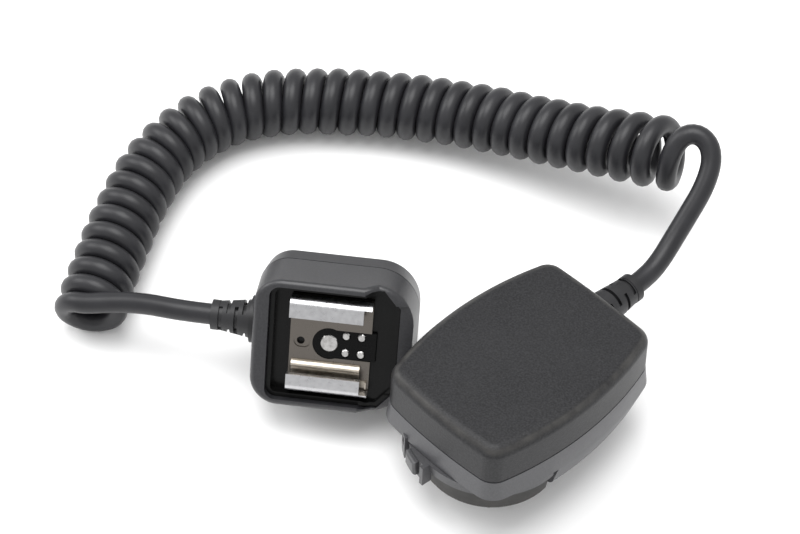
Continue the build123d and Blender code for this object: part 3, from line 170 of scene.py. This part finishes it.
# ---------------------------------------------------------------- materials
class Surface:
    """A Principled material that takes its looks from noise in the object's own space."""

    def __init__(self, name, roughness, metallic=0.0, specular=0.5):
        self.material = bpy.data.materials.new(name)
        self.material.use_nodes = True
        self.tree = self.material.node_tree
        self.shader = self.tree.nodes["Principled BSDF"]
        self.shader.inputs["Roughness"].default_value = roughness
        self.shader.inputs["Metallic"].default_value = metallic
        self.shader.inputs["Specular IOR Level"].default_value = specular
        self.place = self.tree.nodes.new("ShaderNodeTexCoord").outputs["Object"]

    def node(self, kind, **settings):
        made = self.tree.nodes.new(kind)
        for key, value in settings.items():
            setattr(made, key, value)
        return made

    def link(self, source, target):
        self.tree.links.new(source, target)

    def noise(self, scale, detail):
        """Noise with about `scale` features in a metre."""
        made = self.node("ShaderNodeTexNoise")
        made.inputs["Scale"].default_value = scale
        made.inputs["Detail"].default_value = detail
        self.link(self.place, made.inputs["Vector"])
        return made.outputs["Fac"]

    def ramp(self, value, stops):
        """Maps a value through stops of (position, grey or colour)."""
        made = self.node("ShaderNodeValToRGB")
        elements = made.color_ramp.elements
        while len(elements) < len(stops):
            elements.new(0.5)
        for element, (position, shade) in zip(elements, stops):
            element.position = position
            element.color = (*(shade if isinstance(shade, tuple) else (shade,) * 3), 1)
        self.link(value, made.inputs["Fac"])
        return made.outputs["Color"]

    def math(self, operation, first, second):
        made = self.node("ShaderNodeMath", operation=operation)
        for socket, value in zip(made.inputs, (first, second)):
            if isinstance(value, (int, float)):
                socket.default_value = value
            else:
                self.link(value, socket)
        return made.outputs["Value"]

    def blend(self, mask, under, over):
        """The over colour where the mask is 1, the under colour where it is 0."""
        made = self.node("ShaderNodeMix", data_type="RGBA")
        # A mix node's colour sockets are inputs 6 and 7 and output 2.
        self.link(mask, made.inputs["Factor"])
        for socket, value in zip((made.inputs[6], made.inputs[7]), (under, over)):
            if isinstance(value, tuple):
                socket.default_value = (*value, 1)
            else:
                self.link(value, socket)
        return made.outputs[2]

    def dot(self, source, direction):
        made = self.node("ShaderNodeVectorMath", operation="DOT_PRODUCT")
        self.link(source, made.inputs[0])
        made.inputs[1].default_value = direction
        return made.outputs["Value"]

    def facing(self, direction):
        """How far the surface faces a fixed direction, from -1 to 1."""
        return self.dot(self.node("ShaderNodeNewGeometry").outputs["Normal"], direction)

    def across(self, direction):
        """How far a point lies along a direction, in metres."""
        return self.dot(self.place, direction)

    def colour(self, source):
        self.link(source, self.shader.inputs["Base Color"])

    def rough(self, source, low, high):
        """Roughness that runs from low to high with the source."""
        made = self.node("ShaderNodeMapRange")
        made.inputs["To Min"].default_value = low
        made.inputs["To Max"].default_value = high
        self.link(source, made.inputs["Value"])
        self.link(made.outputs["Result"], self.shader.inputs["Roughness"])

    def bump(self, source, distance):
        """A bump of that height, in metres."""
        made = self.node("ShaderNodeBump")
        made.inputs["Distance"].default_value = distance
        self.link(source, made.inputs["Height"])
        self.link(made.outputs["Normal"], self.shader.inputs["Normal"])


def moulded(name, dark, light, roughness, depth=0.04 * MM, specular=0.5):
    """Moulded plastic with a fine spark-eroded grain and faint handling marks."""
    surface = Surface(name, roughness, specular=specular)
    fine = surface.noise(GRAIN, 4)
    broad = surface.noise(HANDLING, 3)
    speckle = surface.ramp(fine, [(0.35, dark), (0.7, light)])
    surface.speckle = surface.blend(surface.math("MULTIPLY", broad, 0.35), speckle, light)
    surface.colour(surface.speckle)
    surface.rough(broad, roughness - 0.06, roughness + 0.08)
    surface.bump(fine, depth)
    return surface


def rubber(name, dark, light, roughness):
    """Matte rubber with a soft bloom."""
    surface = Surface(name, roughness, specular=0.35)
    broad = surface.noise(RUBBER_BLOOM, 4)
    surface.colour(surface.ramp(broad, [(0.3, dark), (0.75, light)]))
    surface.rough(surface.noise(RUBBER_SHEEN, 3), roughness - 0.05, roughness + 0.07)
    surface.bump(surface.noise(RUBBER_GRAIN, 2), 0.012 * MM)
    return surface


def metal(name, dark, light, roughness):
    """Plated metal with a slightly uneven finish."""
    surface = Surface(name, roughness, metallic=1.0)
    mottle = surface.noise(METAL_MOTTLE, 4)
    surface.finish = surface.ramp(mottle, [(0.3, dark), (0.7, light)])
    surface.colour(surface.finish)
    surface.rough(mottle, roughness - 0.07, roughness + 0.1)
    surface.bump(mottle, 0.004 * MM)
    return surface


def smooth_shaded(piece):
    """Welds a CAD mesh's faces and keeps only real edges sharp."""
    piece.data.shade_smooth()
    weld = piece.modifiers.new("weld", "WELD")
    weld.merge_threshold = WELD_DISTANCE
    split = piece.modifiers.new("edges", "EDGE_SPLIT")
    split.split_angle = SHARP_ANGLE
    split.use_edge_sharp = False
    normals = piece.modifiers.new("normals", "WEIGHTED_NORMAL")
    normals.keep_sharp = True


def paint(surface, *names):
    """Gives CAD nodes a material in place of their plain ones."""
    for name in names:
        piece = nodes[name]
        piece.data.materials.clear()
        piece.data.materials.append(surface.material)


# ---------------------------------------------------------------- cord
def add_curve(name, points, resolution):
    """A NURBS curve of order 3 with these control points."""
    data = bpy.data.curves.new(name, "CURVE")
    data.dimensions = "3D"
    data.resolution_u = resolution
    spline = data.splines.new("NURBS")
    spline.points.add(len(points) - 1)
    for point, place in zip(spline.points, points):
        point.co = (*place, 1)
    spline.order_u = 3
    spline.use_endpoint_u = True
    curve = bpy.data.objects.new(name, data)
    scene.collection.objects.link(curve)
    return curve


def in_metres(points):
    return [Vector(point) * MM for point in points]


def route_line():
    """Many points along the middle of the coil."""
    curve = add_curve("route", in_metres(COIL_ROUTE), ROUTE_RESOLUTION)
    bpy.context.view_layer.update()
    mesh = bpy.data.meshes.new_from_object(curve)
    line = np.array([vertex.co for vertex in mesh.vertices])
    bpy.data.objects.remove(curve)
    bpy.data.meshes.remove(mesh)
    return line


def helix_points():
    """The coil's turns: a left-handed helix on its route, from a turn's top to a turn's front."""
    line = route_line()
    steps = np.linalg.norm(np.diff(line, axis=0), axis=1)
    reached = np.concatenate([[0], np.cumsum(steps)]) / MM
    length = reached[-1] - COIL_END_GAP
    stretch = np.clip((reached - length + LAST_STRETCH) / LAST_STRETCH, 0, 1)
    spacing = TURN_SPACING + (LAST_SPACING - TURN_SPACING) * stretch
    turns = steps / MM / ((spacing[1:] + spacing[:-1]) / 2)
    turned = np.concatenate([[0], np.cumsum(turns)])
    turned *= STEPS / POINTS_PER_TURN / np.interp(length, reached, turned)

    def on_route(distance):
        return Vector([np.interp(distance, reached, line[:, axis]) for axis in range(3)])

    points = []
    wire_radius = COIL_RADIUS - CORD_RADIUS
    shrink = math.cos(math.pi / POINTS_PER_TURN)  # the curve runs inside its control points
    for count in range(STEPS + 1):
        turn = count / POINTS_PER_TURN
        where = np.interp(turn, turned, reached)
        along = (on_route(where + HEADING_REACH) - on_route(where - HEADING_REACH)).normalized()
        side = along.cross(Vector((0, 0, 1))).normalized()
        up = side.cross(along)
        angle = FIRST_ANGLE + 2 * math.pi * turn
        growth = END_GROWTH * max(0.0, float(where - length + LAST_STRETCH) / LAST_STRETCH)
        waver = UNEVENNESS * math.sin(UNEVENNESS_RATE * turn)
        reach = wire_radius * (1 + growth + waver) / shrink
        outward = COIL_WIDENING * math.cos(angle) * side + math.sin(angle) * up
        points.append(on_route(where) + reach * outward)
    return points


def add_cord():
    """The whole cord, from the flash head's strain relief through the coil to the camera head's."""
    start = CORD_START
    points = [start, *in_metres(FLASH_LEAD), *helix_points(), *in_metres(CAMERA_LEAD), CORD_END]
    cord = add_curve("cord", points, 3)
    data = cord.data
    data.bevel_depth = CORD_RADIUS
    data.bevel_resolution = 5
    data.use_fill_caps = True
    data.materials.append(cord_rubber.material)
    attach(cord, "root")
    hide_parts("curly_cord", "flash_lead", "camera_lead")


# ---------------------------------------------------------------- surfaces of the CAD parts
mounts = {mount["name"]: mount for mount in record["mounts"]}
flash_up = -Vector(mounts["tripod_socket"]["axis"])
shoe_at = Vector(mounts["flash_shoe"]["pos_m"])
cover = moulded(
    "cover_plastic", (0.007, 0.007, 0.008), (0.024, 0.024, 0.026), 0.38, specular=0.25
)
# The cover's rounded edge is painted lighter than its top and sides: rubbed wear and a painted
# highlight.
rubbed_and_lit_edge = cover.ramp(
    cover.facing((0, 0, 1)), [(0.45, 0.0), (0.72, 1.0), (0.88, 1.0), (0.97, 0.0)]
)
patches = cover.ramp(cover.noise(EDGE_WEAR_AND_HIGHLIGHT, 6), [(0.30, 0.15), (0.70, 0.8)])
wear_and_highlight = cover.math("MULTIPLY", rubbed_and_lit_edge, patches)
# The edge's lighter colour is part real wear, part painted highlight.
cover.colour(cover.blend(wear_and_highlight, cover.speckle, (0.060, 0.058, 0.055)))
lower = moulded(
    "lower_plastic", (0.050, 0.050, 0.054), (0.070, 0.070, 0.075), 0.36, depth=0.008 * MM
)
shell = moulded(
    "flash_housing", (0.014, 0.014, 0.016), (0.028, 0.028, 0.031), 0.34, depth=0.012 * MM
)
liner = moulded(
    "liner_plastic", (0.002,) * 3, (0.005,) * 3, 0.22, depth=0.006 * MM, specular=0.2
)
lever = moulded(
    "lever_plastic", (0.035, 0.035, 0.038), (0.060, 0.060, 0.064), 0.36, depth=0.01 * MM
)
block = moulded("foot_plastic", (0.015, 0.015, 0.016), (0.030, 0.030, 0.031), 0.45)
insulator = moulded(
    "insulator_plastic", (0.002,) * 3, (0.004,) * 3, 0.18, depth=0.003 * MM, specular=0.12
)
cord_rubber = rubber("cord_jacket", (0.013, 0.013, 0.015), (0.023, 0.023, 0.026), 0.38)
relief_rubber = rubber("relief_rubber", (0.012, 0.012, 0.013), (0.022, 0.022, 0.024), 0.42)
boot_rubber = rubber("boot_rubber", (0.020, 0.019, 0.018), (0.040, 0.038, 0.036), 0.6)
steel = metal("shoe_steel", (0.44, 0.44, 0.45), (0.52, 0.52, 0.53), 0.28)
# The plate lies deeper than the lips; it is painted darker and browner than they are, as painted
# shade.
plate_level = steel.math("ADD", steel.across(flash_up), -flash_up.dot(shoe_at))
plate_shade_mask = steel.math("GREATER_THAN", plate_level, 0.6 * MM)
# Painted shade and painted dark reflection: the recessed plate gets a darker colour than the lips.
steel.colour(steel.blend(plate_shade_mask, (0.16, 0.145, 0.13), steel.finish))
spring_steel = metal("spring_steel", (0.40, 0.36, 0.30), (0.55, 0.50, 0.43), 0.32)
contact = metal("contact_metal", (0.42, 0.41, 0.40), (0.66, 0.65, 0.64), 0.22)
screws = metal("screw_steel", (0.20, 0.20, 0.21), (0.30, 0.30, 0.31), 0.35)
brass = metal("insert_metal", (0.60, 0.48, 0.26), (0.74, 0.62, 0.38), 0.3)
clamp = metal("clamp_metal", (0.45, 0.45, 0.45), (0.58, 0.58, 0.58), 0.35)
coated = moulded(
    "foot_metal", (0.016, 0.016, 0.017), (0.030, 0.030, 0.032), 0.32, depth=0.006 * MM
)
board = moulded(
    "circuit_board", (0.010, 0.060, 0.030), (0.020, 0.095, 0.045), 0.3, depth=0.004 * MM
)

paint(cover, "camera_top_cover")
paint(lower, "camera_lower_housing")
paint(shell, "flash_upper_shell", "flash_lower_shell")
paint(liner, "shoe_well")
paint(lever, "lock_lever", "lock_release_button")
paint(block, "foot_block", "cold_foot")
paint(insulator, "shoe_contact_block", "foot_pin_insulator")
paint(relief_rubber, "flash_strain_relief", "camera_strain_relief")
paint(boot_rubber, "foot_boot")
paint(steel, "shoe_bracket")
paint(spring_steel, "shoe_leaf_spring", "center_pin_spring", "data_pin_springs")
paint(contact, "shoe_center_contact", "shoe_data_contacts", "pin_contact_pads")
paint(contact, "foot_center_pin", "foot_data_pins", "lock_pin")
paint(screws, "shoe_bracket_screws", "flash_housing_screws", "camera_housing_screws", "foot_screws")
paint(brass, "tripod_socket")
paint(clamp, "flash_cable_clamp", "camera_cable_clamp")
paint(coated, "mounting_foot")
paint(board, "flash_circuit_board", "camera_circuit_board")
paint(cord_rubber, "flash_cord_tail", "camera_cord_tail")

for piece in nodes.values():
    smooth_shaded(piece)

add_cord()
add_studio()
add_camera()
